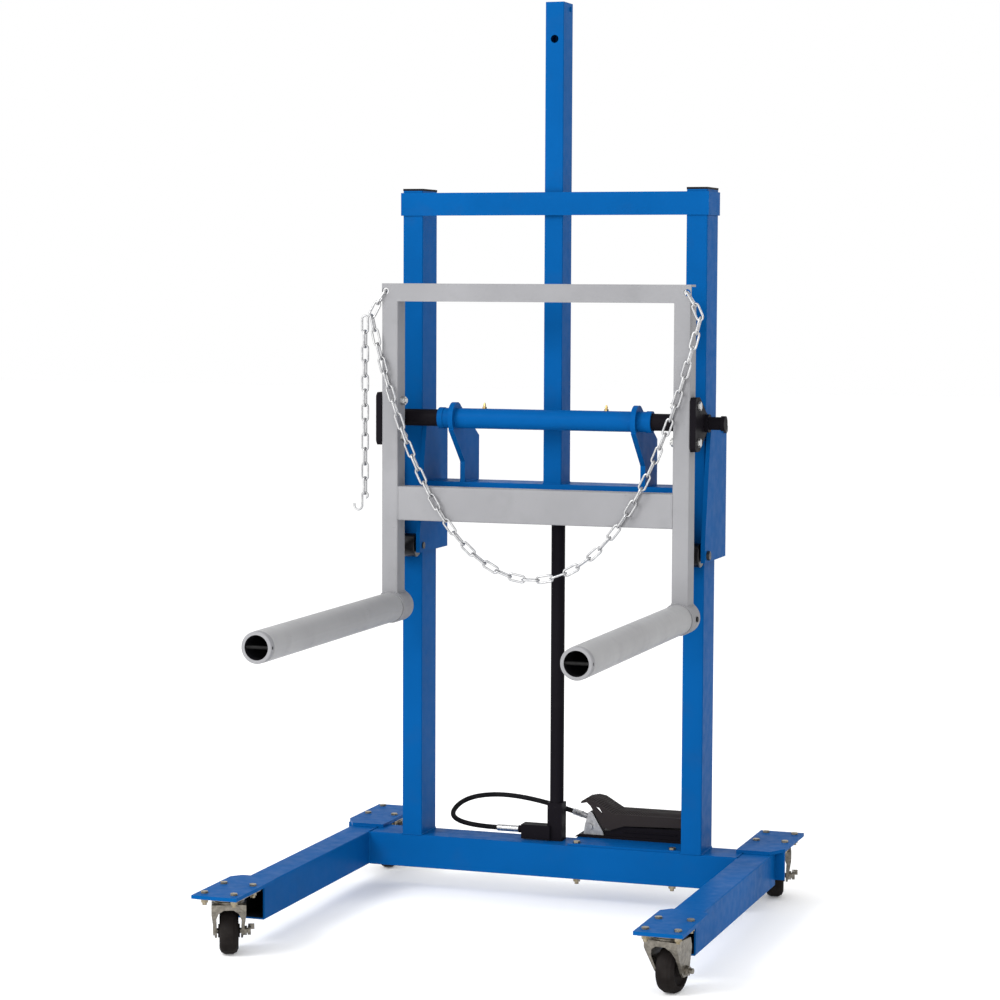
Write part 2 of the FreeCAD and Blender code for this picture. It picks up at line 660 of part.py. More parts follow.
def make_carriage():
    span = "2*bracket_inner"
    bar = box_tube("bar_tube", "YZ_Plane", "bar_depth", "bar_high-bar_low", "wall", span)
    passage = rod("bar_passage", "barrel_radius+2.5", "120", "bracket_inner",
                  "cylinder_y-bar_front-bar_depth/2", "-10")
    node(cut("carriage_bar", bar, [passage]), "carriage_bar", "-bracket_inner",
         "bar_front+bar_depth/2", "bar_low")

    post = box_tube("post_tube", "XY_Plane", "post_width", "post_depth", "post_wall",
                    "post_top-bar_high", rounding="2.5")
    holes = [rod("post_hole", "9.5", "20", y="-10", z="2048-bar_high", turn=ALONG_Y),
             rod("post_pin_hole", "axle_radius", "80", "-40", "cylinder_y-post_front",
                 "pin_height-bar_high", ALONG_X)]
    node(cut("centre_post", post, holes), "centre_post", 0, "post_front", "bar_high")
    stub = "post_width/2+4"
    pin = turned("cross_pin", [
        ("0", f"-({stub})"), ("axle_radius-1.5", f"-({stub})"), ("axle_radius", f"1.5-({stub})"),
        ("axle_radius", f"{stub}-1.5"), ("axle_radius-1.5", stub), ("0", stub)])
    node(pin, "post_pin", 0, "cylinder_y", "pin_height", ALONG_X)

    for side, sign in (("left", -1), ("right", 1)):
        node(carriage_bracket(side, sign), f"carriage_bracket_{side}")
    ears = []
    for side, start in (("left", "-ear_offset"), ("right", "ear_offset-ear_thick")):
        blade = extruded(f"ear_blade_{side}", "YZ_Plane", [[
            ("-30", "-27"), ("53", "-106"), ("53", "bar_high-shaft_z"),
            ("157", "bar_high-shaft_z"), ("157", "-48"), ("12", "36")]], "ear_thick")
        disc = rod(f"ear_disc_{side}", "ear_radius", "ear_thick", turn=ALONG_X)
        hole = rod(f"ear_hole_{side}", "torque_radius", "40", "-10", turn=ALONG_X)
        ear = cut(f"ear_{side}", joined(f"ear_solid_{side}", [blade, disc]), [hole])
        ear.Placement.Base.x = size(start)
        ears.append(ear)
    node(group("ear_pair", ears), "shaft_ears", 0, "shaft_y", "shaft_z")

    half = "torque_half"
    torque = turned("torque_tube", [
        ("shaft_radius+running_gap", f"-{half}"), ("torque_radius+1.5", f"-{half}"),
        ("torque_radius+1.5", f"-{half}+13"), ("torque_radius", f"-{half}+13"),
        ("torque_radius", f"{half}-13"), ("torque_radius+1.5", f"{half}-13"),
        ("torque_radius+1.5", half), ("shaft_radius+running_gap", half)])
    node(torque, "torque_tube", 0, "shaft_y", "shaft_z", ALONG_X)

    nipples = []
    for index, x in enumerate((-150, 150)):
        stem = rod(f"nipple_stem_{index}", "3", "9", str(x), z="torque_radius-1")
        tip = doc.addObject("Part::Cone", f"nipple_tip_{index}")
        bind(tip, Radius1="4", Radius2="1.5", Height="7")
        tip.Placement.Base = Vector(x, 0, size("torque_radius+7"))
        nut = hexagon(f"nipple_nut_{index}", "5.5", "4", str(x), z="torque_radius")
        nipples.append(joined(f"nipple_{index}", [stem, tip, nut]))
    node(group("grease_nipples", nipples), "grease_nipples", 0, "shaft_y", "shaft_z")

    length = "bracket_outer-bracket_inner"
    bolts = []
    for side, sign in (("left", -1), ("right", 1)):
        for index, (y, z) in enumerate(ROLLER_PLACES):
            turn = ALONG_X if sign < 0 else Rotation(Vector(0, 1, 0), -90)
            bolts.append(bolt(f"roller_bolt_{side}_{index}", "roller_bolt_radius", f"{length}+3",
                              "11", f"{sign}*bracket_outer", y, z, turn))
    node(group("roller_bolts", bolts), "roller_bolts")


def make_rollers():
    for place, (y, z) in zip(("front", "rear"), ROLLER_PLACES):
        radius = f"{place}_roller_radius"
        pair = []
        for side, sign in (("left", -1), ("right", 1)):
            roller = turned(f"{place}_roller_{side}", [
                ("roller_bolt_radius+running_gap", "-roller_length/2"),
                (f"{radius}-2", "-roller_length/2"), (radius, "2-roller_length/2"),
                (radius, "roller_length/2-2"), (f"{radius}-2", "roller_length/2"),
                ("roller_bolt_radius+running_gap", "roller_length/2")])
            roller.Placement = Placement(Vector(sign * 351, 0, 0), ALONG_X)
            pair.append(roller)
        node(group(f"{place}_rollers", pair), f"{place}_rollers", 0, y, z)


# ---- tilting fork frame ---------------------------------------------------------------------

def make_shaft():
    end = "frame_half+hub_thick+11"
    shaft = turned("tilt_shaft", [
        ("0", f"-({end})"), ("journal_radius", f"-({end})"), ("journal_radius", "-frame_half+4"),
        ("shaft_radius", "-frame_half+4"), ("shaft_radius", "frame_half-4"),
        ("journal_radius", "frame_half-4"), ("journal_radius", "426"),
        ("journal_radius+2.5", "426"), ("journal_radius+2.5", "436"), ("0", "436")])
    node(shaft, "tilt_shaft", 0, "shaft_y", "shaft_z", ALONG_X)


def frame_hub(side, sign):
    """A cast arm bolted to the post's outer side that carries the bore for the shaft behind it."""
    outwards = ALONG_X if sign > 0 else Rotation(Vector(0, 1, 0), -90)
    blade = extruded(f"hub_blade_{side}", "YZ_Plane", [[
        ("frame_front-shaft_y-2", "-53"), ("frame_front-shaft_y+6", "-62"),
        ("frame_front-shaft_y+36", "-62"), ("10", "-21"), ("10", "21"),
        ("frame_front-shaft_y+36", "62"), ("frame_front-shaft_y+6", "62"),
        ("frame_front-shaft_y-2", "53")]], "hub_thick")
    blade.Placement.Base.x = 0 if sign > 0 else -size("hub_thick")
    disc = rod(f"hub_disc_{side}", "25", "hub_thick", turn=outwards)
    boss = rod(f"hub_boss_{side}", "21", "9", f"{sign}*hub_thick", turn=outwards)
    solid = joined(f"hub_solid_{side}", [blade, disc, boss])
    bore = rod(f"hub_bore_{side}", "journal_radius+running_gap", "80", "-40", turn=ALONG_X)
    holes = [rod(f"hub_bolt_hole_{side}_{i}", "6", "80", "-40", "hub_bolt_y-shaft_y", z, ALONG_X)
             for i, z in enumerate(("hub_bolt_rise", "-hub_bolt_rise"))]
    return cut(f"hub_drilled_{side}", solid, [bore] + holes)


def make_fork_frame():
    post_height = "frame_top-top_bar_height-fork_z"
    post_x = "frame_half-frame_post_width/2"
    for side, sign in (("left", -1), ("right", 1)):
        post = box_tube(f"frame_tube_{side}", "XY_Plane", "frame_post_width", "frame_post_depth",
                        "3", post_height)
        saddle = rod(f"saddle_{side}", "socket_radius", "80",
                     f"{sign}*(fork_offset-({post_x}))", "-10", "0", ALONG_Y)
        holes = [rod(f"frame_hole_{side}_{i}", "6", "80", "-40", "hub_bolt_y-frame_front",
                     f"shaft_z-fork_z+{z}", ALONG_X)
                 for i, z in enumerate(("hub_bolt_rise", "(-hub_bolt_rise)"))]
        node(cut(f"frame_post_{side}", post, [saddle] + holes), f"frame_post_{side}",
             f"{sign}*({post_x})", "frame_front", "fork_z")

        hub = frame_hub(side, sign)
        node(hub, f"shaft_hub_{side}", f"{sign}*frame_half", "shaft_y", "shaft_z")

        reach = "fork_rear-fork_tip"
        neck = "socket_front-fork_tip"
        pipe = turned(f"pipe_tube_{side}", [
            ("pipe_bore", "0"), ("pipe_radius", "0"), ("pipe_radius", neck),
            ("socket_radius-1", neck), ("socket_radius-1", f"{neck}+8"),
            ("socket_radius", f"{neck}+10"), ("socket_radius", f"{reach}-3"),
            ("socket_radius-3", reach), ("0", reach), ("0", f"{reach}-8"),
            ("pipe_bore", f"{reach}-8")])
        hole = rod(f"pipe_hole_{side}", "4", "100", "-50", "0", "8", ALONG_X)
        tapped = rod(f"pipe_tapped_{side}", "4", "16", f"{sign}*socket_radius-8", "0",
                     f"{neck}+30", ALONG_X)
        node(cut(f"pipe_drilled_{side}", pipe, [hole, tapped]), f"fork_pipe_{side}",
             f"{sign}*fork_offset", "fork_tip", "fork_z", ALONG_Y)

        sleeve = turned(f"fork_sleeve_{side}", [
            ("pipe_radius+running_gap", "0"), ("sleeve_radius-1", "0"), ("sleeve_radius", "1"),
            ("sleeve_radius", "socket_front-fork_tip-20"),
            ("pipe_radius+running_gap", "socket_front-fork_tip-20")])
        node(sleeve, f"fork_sleeve_{side}", f"{sign}*fork_offset", "fork_tip+18", "fork_z", ALONG_Y)

    length = "2*frame_half-2*frame_post_width"
    low_bar = box_tube("frame_low_bar", "YZ_Plane", "low_bar_depth", "low_bar_height", "3", length)
    node(low_bar, "frame_low_bar", "frame_post_width-frame_half", "frame_front+low_bar_depth/2",
         "low_bar_low")

    flange = "top_bar_height"
    angle = extruded("top_angle", "YZ_Plane", [[
        ("0", "0"), ("5", "0"), ("5", f"{flange}-5"), (flange, f"{flange}-5"), (flange, flange),
        ("0", flange)]], "2*frame_half")
    holes = [rod(f"eye_hole_{i}", "8", "30", x, "-10", "eye_z-frame_top+top_bar_height", ALONG_Y)
             for i, x in enumerate(("frame_half-eye_x", "frame_half+eye_x"))]
    node(cut("frame_top_bar", angle, holes), "frame_top_bar", "-frame_half", "frame_front",
         "frame_top-top_bar_height")

    make_frame_fixings()


def make_frame_fixings():
    rings = []
    pins = []
    for side, sign in (("left", -1), ("right", 1)):
        ring = turned(f"ring_{side}", [
            ("pipe_radius", "0"), ("sleeve_radius-2", "0"), ("sleeve_radius-0.5", "1.5"),
            ("sleeve_radius-0.5", "16"), ("pipe_radius", "16")])
        hole = rod(f"ring_hole_{side}", "4", "100", "-50", "0", "8", ALONG_X)
        drilled = cut(f"ring_drilled_{side}", ring, [hole])
        drilled.Placement = Placement(Vector(sign * size("fork_offset"), 0, 0), ALONG_Y)
        rings.append(drilled)
        roll = rod(f"roll_pin_{side}", "4", "2*sleeve_radius-5",
                   f"{sign}*fork_offset-sleeve_radius+2.5", "8", "0", ALONG_X)
        pins.append(roll)
        turn = Rotation(Vector(0, 1, 0), -90 * sign)
        pins.append(bolt(f"set_bolt_{side}", "4", "7", "6.5",
                         f"{sign}*(fork_offset+socket_radius)", "socket_front-fork_tip+30", "0", turn))
    node(group("fork_rings", rings), "fork_rings", 0, "fork_tip", "fork_z")
    node(group("fork_pins", pins), "fork_pins", 0, "fork_tip", "fork_z")

    bolts = []
    for side, sign in (("left", -1), ("right", 1)):
        turn = Rotation(Vector(0, 1, 0), -90 * sign)
        for index, z in enumerate(("hub_bolt_rise", "-hub_bolt_rise")):
            bolts.append(bolt(f"hub_bolt_{side}_{index}", "6", "frame_post_width+hub_thick+13", "10.5",
                              f"{sign}*(frame_half+hub_thick)", "hub_bolt_y", f"shaft_z+{z}",
                              turn, nut_at="frame_post_width+hub_thick"))
    node(group("hub_bolts", bolts), "hub_bolts")

    gap = "bar_front-0.4-frame_front-low_bar_depth"
    stops = []
    for side, sign in (("left", -1), ("right", 1)):
        stem = rod(f"stop_stem_{side}", "12", f"{gap}-12", f"{sign}*215", turn=ALONG_Y)
        pad = rod(f"stop_pad_{side}", "19", "12", f"{sign}*215", f"{gap}-12", turn=ALONG_Y)
        stops.append(joined(f"stop_{side}", [stem, pad]))
    node(group("frame_stops", stops), "frame_stops", 0, "frame_front+low_bar_depth", 962)


# ---- chain ----------------------------------------------------------------------------------

def chain_link():
    """One long link of round wire, its length along local X and its width along local Y."""
    bend = size("link_bend")
    wire = size("link_wire")
    straight = size("link_straight")
    pieces = []
    for sign in (-1, 1):
        side = Part.makeCylinder(wire, straight, Vector(-straight / 2, sign * bend, 0), Vector(1, 0, 0))
        arc = Part.makeTorus(bend, wire, Vector(), Vector(0, 0, 1), 0, 360, 180)
        arc.rotate(Vector(), Vector(0, 0, 1), -90 * sign)
        arc.translate(Vector(sign * straight / 2, 0, 0))
        pieces.extend([side, arc])
    return pieces[0].fuse(pieces[1:]).removeSplitter()


def swag_height(x):
    """The height of the hanging chain at x: a catenary through its ends and its lowest point."""
    half = size("chain_half")
    rise = size("chain_high") - size("chain_low")
    low, high = half / 6, half * 6
    for _ in range(60):
        scale = (low + high) / 2
        if scale * (math.cosh(half / scale) - 1) > rise:
            low = scale
        else:
            high = scale
    return size("chain_low") + scale * (math.cosh(x / scale) - 1)


def spaced(points, count):
    """Equal steps along a broken line: the middle of each step and its direction."""
    lengths = [0.0]
    for before, after in zip(points, points[1:]):
        lengths.append(lengths[-1] + (after - before).Length)

    def place_at(distance):
        k = max(j for j in range(len(lengths) - 1) if lengths[j] <= distance + 1e-9)
        share = (distance - lengths[k]) / (lengths[k + 1] - lengths[k])
        return points[k] + (points[k + 1] - points[k]) * share

    step = lengths[-1] / count
    ends = [place_at(i * step) for i in range(count + 1)]
    return [((a + b) * 0.5, (b - a).normalize()) for a, b in zip(ends, ends[1:])]


def chain_of(name, points, parity=0, odd=1):
    """Links along a broken line, an odd or even number of them, every second one turned crosswise."""
    link = chain_link()
    inner = size("link_straight+2*link_bend-2*link_wire")
    total = sum((after - before).Length for before, after in zip(points, points[1:]))
    count = 2 * round((total / inner - odd) / 2) + odd
    links = []
    for index, (place, way) in enumerate(spaced(points, count)):
        across = (Vector(0, 1, 0) - way * way.y).normalize()
        if (index + parity) % 2:
            across = way.cross(across)
        turn = Rotation(way, across, way.cross(across), "XYZ")
        copy = link.copy()
        copy.Placement = Placement(place, turn)
        links.append(copy)
    thing = doc.addObject("Part::Feature", name)
    thing.Shape = Part.makeCompound(links)
    return thing


EYE_DROP = 5.2
EYE_RADIUS = 7.0
CROOK_RADIUS = 10.0


def chain_hook(x, z):
    """A hook bent from one length of wire: an eye above, a stem and an open crook to the left."""
    wire = size("link_wire")

    def around(centre_x, centre_z, radius, angle):
        return Vector(x + centre_x + radius * math.cos(math.radians(angle)), 0,
                      z + centre_z + radius * math.sin(math.radians(angle)))

    def arc(*centre_and_radius, angles):
        return Part.Arc(*(around(*centre_and_radius, angle) for angle in angles)).toShape()

    left = x - EYE_RADIUS
    far = left - 2 * CROOK_RADIUS
    path = Part.Wire([
        arc(0, -EYE_DROP, EYE_RADIUS, angles=(-70, 55, 180)),
        Part.makeLine(Vector(left, 0, z - EYE_DROP), Vector(left, 0, z - 30)),
        arc(-EYE_RADIUS - CROOK_RADIUS, -30, CROOK_RADIUS, angles=(0, -90, -180)),
        Part.makeLine(Vector(far, 0, z - 30), Vector(far, 0, z - 25))])
    section = Part.makeCircle(wire, around(0, -EYE_DROP, EYE_RADIUS, -70), around(-x, -z, 1, 20))
    return path.makePipeShell([Part.Wire([section])], True, True)


def make_chain():
    half = size("chain_half")
    depth = size("frame_front-chain_y") + 2.5
    steps = 80
    swag = []
    for i in range(steps + 1):
        x = half * math.sin(math.pi / 2 * (2 * i / steps - 1))
        aside = max(0.0, min(1.0, (abs(x) - size("frame_half")) / (half - size("frame_half"))))
        swag.append(Vector(x, depth * 0.4 * aside, swag_height(x)))
    left = Vector(-size("eye_x"), depth, size("eye_z"))
    right = Vector(size("eye_x"), depth, size("eye_z"))
    node(chain_of("chain_links", [left] + swag + [right]), "chain", 0, "chain_y", 0)

    top = size("chain_high") - 8
    low = top - 415
    x = -half - 13
    tail = chain_of("tail_links", [Vector(x, 0, top), Vector(x, 0, low)], 1, 0)
    tail.Shape = Part.makeCompound(tail.Shape.Solids + [chain_hook(x, low)])
    node(tail, "chain_tail", 0, "chain_y", 0)


# ---- build and write ------------------------------------------------------------------------

def check_document():
    for thing in doc.Objects:
        if any(state in ("Invalid", "Error") for state in thing.State):
            raise RuntimeError(f"{thing.Name} failed: {thing.State}")
    for thing in nodes:
        if thing.Shape.isNull() or not thing.Shape.isValid() or not thing.Shape.Solids:
            raise RuntimeError(f"{thing.Label} has no valid solid")


def main():
    make_base()
    make_caster_plates()
    make_casters()
    make_cylinder()
    make_pump()
    make_hose()
    make_carriage()
    make_rollers()
    make_shaft()
    make_fork_frame()
    make_chain()
    doc.recompute()
    check_document()
    os.makedirs("parts", exist_ok=True)
    whole = FreeCAD.BoundBox()
    for thing in nodes:
        thing.Shape.exportStep(f"parts/{thing.Label}.step")
        whole.add(thing.Shape.BoundBox)
    print(len(nodes), "nodes, box", whole)


main()
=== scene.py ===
"""The looks of a heavy-vehicle wheel dolly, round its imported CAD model. Metres, same frame."""

import json
import math
import random

import bmesh
import bpy
from mathutils import Matrix, Vector


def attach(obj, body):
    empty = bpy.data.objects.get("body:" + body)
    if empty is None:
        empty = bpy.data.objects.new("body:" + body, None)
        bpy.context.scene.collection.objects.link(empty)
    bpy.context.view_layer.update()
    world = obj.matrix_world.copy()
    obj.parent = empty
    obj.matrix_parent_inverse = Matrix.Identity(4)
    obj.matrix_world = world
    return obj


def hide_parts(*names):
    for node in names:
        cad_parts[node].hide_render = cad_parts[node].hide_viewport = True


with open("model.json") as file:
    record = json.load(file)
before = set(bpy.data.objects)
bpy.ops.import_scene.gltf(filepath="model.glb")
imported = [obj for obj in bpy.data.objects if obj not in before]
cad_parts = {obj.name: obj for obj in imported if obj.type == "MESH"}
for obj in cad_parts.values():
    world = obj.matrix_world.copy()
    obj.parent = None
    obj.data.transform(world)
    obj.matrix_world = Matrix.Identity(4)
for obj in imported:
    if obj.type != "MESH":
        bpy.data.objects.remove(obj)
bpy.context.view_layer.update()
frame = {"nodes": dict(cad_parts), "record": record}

MM = 0.001
FACE_Y = 311.5     # the uprights' front face, in the frame's millimetres


def place(x, y, z):
    """A point in metres from millimetres, with y counted from the uprights' front face."""
    return Vector((x * MM, (y + FACE_Y) * MM, z * MM))


# ---- materials ------------------------------------------------------------------------------

class Nodes:
    """A short way to write a material's node tree."""

    def __init__(self, name):
        self.material = bpy.data.materials.new(name)
        self.material.use_nodes = True
        self.tree = self.material.node_tree
        self.shader = self.tree.nodes["Principled BSDF"]
        self.position = self.add("ShaderNodeTexCoord").outputs["Object"]

    def add(self, kind, **values):
        node = self.tree.nodes.new(kind)
        for name, value in values.items():
            if name in node.inputs:
                node.inputs[name].default_value = value
            else:
                setattr(node, name, value)
        return node

    def link(self, source, target):
        self.tree.links.new(source, target)

    def noise(self, scale, detail=3.0, stretch=None):
        node = self.add("ShaderNodeTexNoise")
        node.inputs["Scale"].default_value = scale
        node.inputs["Detail"].default_value = detail
        if stretch:
            mapping = self.add("ShaderNodeMapping")
            mapping.inputs["Scale"].default_value = stretch
            self.link(self.position, mapping.inputs["Vector"])
            self.link(mapping.outputs["Vector"], node.inputs["Vector"])
        else:
            self.link(self.position, node.inputs["Vector"])
        return node.outputs["Fac"]

    def ramp(self, source, low, high, dark, light):
        node = self.add("ShaderNodeValToRGB")
        node.color_ramp.elements[0].position = low
        node.color_ramp.elements[0].color = (*dark, 1)
        node.color_ramp.elements[1].position = high
        node.color_ramp.elements[1].color = (*light, 1)
        self.link(source, node.inputs["Fac"])
        return node.outputs["Color"]

    def grade(self, source, low, high, to_low, to_high):
        node = self.add("ShaderNodeMapRange")
        limits = {"From Min": low, "From Max": high, "To Min": to_low, "To Max": to_high}
        for name, value in limits.items():
            node.inputs[name].default_value = value
        self.link(source, node.inputs["Value"])
        return node.outputs["Result"]

    def mix(self, share, first, second, blend="MIX"):
        node = self.add("ShaderNodeMix", data_type="RGBA", blend_type=blend)
        colours = [s for s in node.inputs if s.type == "RGBA"]
        factor = [s for s in node.inputs if s.type == "VALUE"][0]
        for socket, value in ((factor, share), (colours[0], first), (colours[1], second)):
            if isinstance(value, (int, float)):
                socket.default_value = value
            elif isinstance(value, tuple):
                socket.default_value = (*value, 1)
            else:
                self.link(value, socket)
        return [s for s in node.outputs if s.type == "RGBA"][0]

    def bump(self, layers):
        """Bump from (height, distance, strength) layers, one on another."""
        normal = None
        for height, distance, strength in layers:
            node = self.add("ShaderNodeBump")
            node.inputs["Distance"].default_value = distance
            node.inputs["Strength"].default_value = strength
            self.link(height, node.inputs["Height"])
            if normal is not None:
                self.link(normal, node.inputs["Normal"])
            normal = node.outputs["Normal"]
        self.link(normal, self.shader.inputs["Normal"])

    def rough(self, source, low, high):
        """Roughness from low to high over the middle of a noise."""
        self.link(self.grade(source, 0.3, 0.7, low, high), self.shader.inputs["Roughness"])

    def math(self, operation, first, second=0.0):
        node = self.add("ShaderNodeMath", operation=operation)
        for socket, value in zip(node.inputs, (first, second)):
            if isinstance(value, (int, float)):
                socket.default_value = value
            else:
                self.link(value, socket)
        return node.outputs[0]

    def axes(self):
        node = self.add("ShaderNodeSeparateXYZ")
        self.link(self.position, node.inputs[0])
        return node.outputs

    def inside_legs(self):
        """1 on the inner walls of the two leg tubes, which get painted shade."""
        x, _, z = self.axes()
        across = self.math("ABSOLUTE", self.math("SUBTRACT", self.math("ABSOLUTE", x), LEG_CENTRE))
        rise = self.math("ABSOLUTE", self.math("SUBTRACT", z, LEG_MIDDLE))
        return self.math("MULTIPLY", self.math("LESS_THAN", across, LEG_HALF_HOLLOW),
                         self.math("LESS_THAN", rise, LEG_HALF_RISE))

    def inside_forks(self):
        """1 on the two fork pipes, inside and out, but not on the rims at their tips: where the
        painted shade goes.
        """
        x, y, z = self.axes()
        across = self.math("SUBTRACT", self.math("ABSOLUTE", x), FORK_X)
        rise = self.math("SUBTRACT", z, FORK_Z)
        across_square = self.math("MULTIPLY", across, across)
        square = self.math("ADD", across_square, self.math("MULTIPLY", rise, rise))
        return self.math("MULTIPLY", self.math("LESS_THAN", square, FORK_SHADE_RADIUS ** 2),
                         self.math("GREATER_THAN", y, FORK_RIM_Y))


# bounds of the leg tubes' hollows, which get painted shade
LEG_CENTRE, LEG_HALF_HOLLOW = 0.496, 0.0313
LEG_MIDDLE, LEG_HALF_RISE = 0.100, 0.0363
# the fork pipes' axis, the radius and the rim plane that bound the painted shade
FORK_X, FORK_Z, FORK_SHADE_RADIUS, FORK_RIM_Y = 0.352, 0.712, 0.033, -0.6155
# painted shade: the bare steel inside the leg tubes and fork pipes, made near-black to stand in for
# the shade in there
BARE_IN_SHADE = (0.012, 0.012, 0.014)    # unpainted, seen in shadow
PAINT_IOR = 1.06    # flat enough to keep its colour on faces seen at a low angle


def painted(name, colour, worn, roughness=0.34, hollow=None):
    """Sprayed enamel: faint mottling, orange peel and thin scuffs; near-black painted shade on bare
    steel where hollow gives 1.
    """
    m = Nodes(name)
    broad = m.noise(3.2, 4)
    dark, light = tuple(c * 0.88 for c in colour), tuple(min(1, c * 1.1) for c in colour)
    tone = m.ramp(broad, 0.3, 0.7, dark, light)
    grime = m.grade(m.noise(14, 6), 0.56, 0.78, 0.0, 0.35)
    tone = m.mix(grime, tone, tuple(c * 0.72 + 0.01 for c in colour))
    scratch = m.noise(60, 4, stretch=(1, 1, 7))
    wear = m.grade(scratch, 0.70, 0.735, 0.0, 0.8)
    rare = m.grade(m.noise(7, 2), 0.52, 0.66, 0.0, 1.0)
    tone = m.mix(m.math("MULTIPLY", wear, rare), tone, worn)
    # painted shade: near-black mixed in inside the tubes and pipes
    if hollow:
        tone = m.mix(hollow(m), tone, BARE_IN_SHADE)
    m.link(tone, m.shader.inputs["Base Color"])
    m.rough(m.noise(40, 5), roughness - 0.06, roughness + 0.10)
    m.shader.inputs["IOR"].default_value = PAINT_IOR
    m.bump([(m.noise(420, 2), 0.0004, 0.10), (m.noise(26, 3), 0.0016, 0.08)])
    return m.material


def plated(name, colour, tint, roughness=0.36):
    """Zinc plating: soft blotches of two tints, a light grain and dull spots."""
    m = Nodes(name)
    tone = m.ramp(m.noise(90, 4), 0.34, 0.66, colour, tint)
    spots = m.grade(m.noise(230, 5), 0.55, 0.7, 0.0, 0.45)
    tone = m.mix(spots, tone, tuple(c * 0.45 for c in colour))
    m.link(tone, m.shader.inputs["Base Color"])
    m.shader.inputs["Metallic"].default_value = 0.92
    m.rough(m.noise(150, 4), roughness - 0.1, roughness + 0.14)
    m.bump([(m.noise(700, 3), 0.0003, 0.16)])
    return m.material


def turned_steel(name, colour, roughness, stretch):
    """Machined or ground steel with fine tool lines."""
    m = Nodes(name)
    lines = m.noise(900, 2, stretch=stretch)
    tone = m.ramp(lines, 0.3, 0.7, tuple(c * 0.85 for c in colour), colour)
    stain = m.grade(m.noise(30, 5), 0.5, 0.75, 0.0, 0.4)
    tone = m.mix(stain, tone, tuple(c * 0.6 for c in colour))
    m.link(tone, m.shader.inputs["Base Color"])
    m.shader.inputs["Metallic"].default_value = 1.0
    m.rough(lines, roughness - 0.05, roughness + 0.08)
    m.bump([(lines, 0.0002, 0.12)])
    return m.material


def soft_black(name, colour, roughness, grain, depth, dust):
    """Rubber or plastic: fine grain with a grey bloom of dust."""
    m = Nodes(name)
    bloom = m.grade(m.noise(22, 6), 0.45, 0.75, 0.0, dust)
    dark, light = tuple(c * 0.8 for c in colour), tuple(c * 1.25 for c in colour)
    tone = m.ramp(m.noise(9, 3), 0.3, 0.7, dark, light)
    tone = m.mix(bloom, tone, (0.20, 0.19, 0.18))
    m.link(tone, m.shader.inputs["Base Color"])
    m.rough(m.noise(70, 4), roughness - 0.08, roughness + 0.1)
    m.shader.inputs["IOR"].default_value = PAINT_IOR
    m.bump([(m.noise(grain, 3), depth, 0.35)])
    return m.material


BLUE = (0.0015, 0.071, 0.245)
GREY = (0.245, 0.245, 0.255)
BLUE_WORN = (0.01, 0.10, 0.29)
GREY_WORN = (0.16, 0.16, 0.165)

LOOKS = {
    "blue_paint": painted("blue_enamel", BLUE, BLUE_WORN, hollow=Nodes.inside_legs),
    "grey_paint": painted("grey_enamel", GREY, GREY_WORN, 0.40, hollow=Nodes.inside_forks),
    "black_paint": painted("black_enamel", (0.008, 0.007, 0.009), (0.05, 0.05, 0.05), 0.36),
    "black_plastic": soft_black("moulded_cap", (0.010, 0.010, 0.011), 0.45, 900, 0.0004, 0.06),
    "chrome_rod": turned_steel("ground_rod", (0.50, 0.50, 0.51), 0.14, (1, 1, 9)),
    "zinc_steel": plated("zinc", (0.13, 0.12, 0.10), (0.23, 0.21, 0.18)),
    "dark_bolt": plated("blackened", (0.030, 0.030, 0.032), (0.06, 0.06, 0.063), 0.42),
    "brass": plated("nipple_brass", (0.50, 0.34, 0.12), (0.60, 0.44, 0.19), 0.30),
    "tyre": soft_black("wheel_rubber", (0.013, 0.011, 0.0105), 0.5, 500, 0.0006, 0.05),
    "hose_rubber": soft_black("hose_cover", (0.009, 0.009, 0.010), 0.42, 1200, 0.0004, 0.05),
    "dark_roller": turned_steel("roller_steel", (0.035, 0.035, 0.037), 0.32, (9, 1, 1)),
    "cast_aluminium": plated("valve_casting", (0.30, 0.30, 0.31), (0.42, 0.42, 0.42), 0.5),
}
GALVANISED = plated("galvanised", (0.38, 0.38, 0.39), (0.50, 0.50, 0.50), 0.40)
# pieces that look different from the rest of their slot
# painted light: the fork sleeves get a lighter copy of the grey enamel, standing in for the light
# on them
SLEEVE = painted("sleeve_enamel", (0.31, 0.31, 0.315), GREY_WORN, 0.36, hollow=Nodes.inside_forks)
SPECIAL = {
    "chain": GALVANISED,
    "chain_tail": GALVANISED,
    "hose_ferrules": plated("crimped_zinc", (0.45, 0.45, 0.45), (0.55, 0.55, 0.54), 0.28),
    "fork_pins": plated("pin_black", (0.012, 0.012, 0.012), (0.02, 0.02, 0.02), 0.6),
    "hub_bolts": plated("bright_zinc", (0.45, 0.45, 0.45), (0.56, 0.56, 0.54), 0.32),
    "base_bolts": plated("yellow_zinc", (0.22, 0.18, 0.11), (0.33, 0.29, 0.22), 0.34),
    "fork_rings": LOOKS["grey_paint"],
    "fork_sleeve_left": SLEEVE,
    "fork_sleeve_right": SLEEVE,
    "brake_front_left": LOOKS["zinc_steel"],
    "brake_rear_right": LOOKS["zinc_steel"],
    "pump_treadle": painted("treadle_enamel", (0.026, 0.022, 0.022), (0.08, 0.075, 0.07), 0.42),
}


def dress_frame():
    """Give every CAD node its own material, or else that of its slot."""
    slot_of = {row["node"]: row["material_slot"] for row in frame["record"]["subparts"]}
    for name, obj in frame["nodes"].items():
        material = SPECIAL.get(name, LOOKS[slot_of[name]])
        for index in range(max(1, len(obj.material_slots))):
            if len(obj.material_slots) <= index:
                obj.data.materials.append(material)
            obj.material_slots[index].material = material


# ---- mesh helpers ---------------------------------------------------------------------------

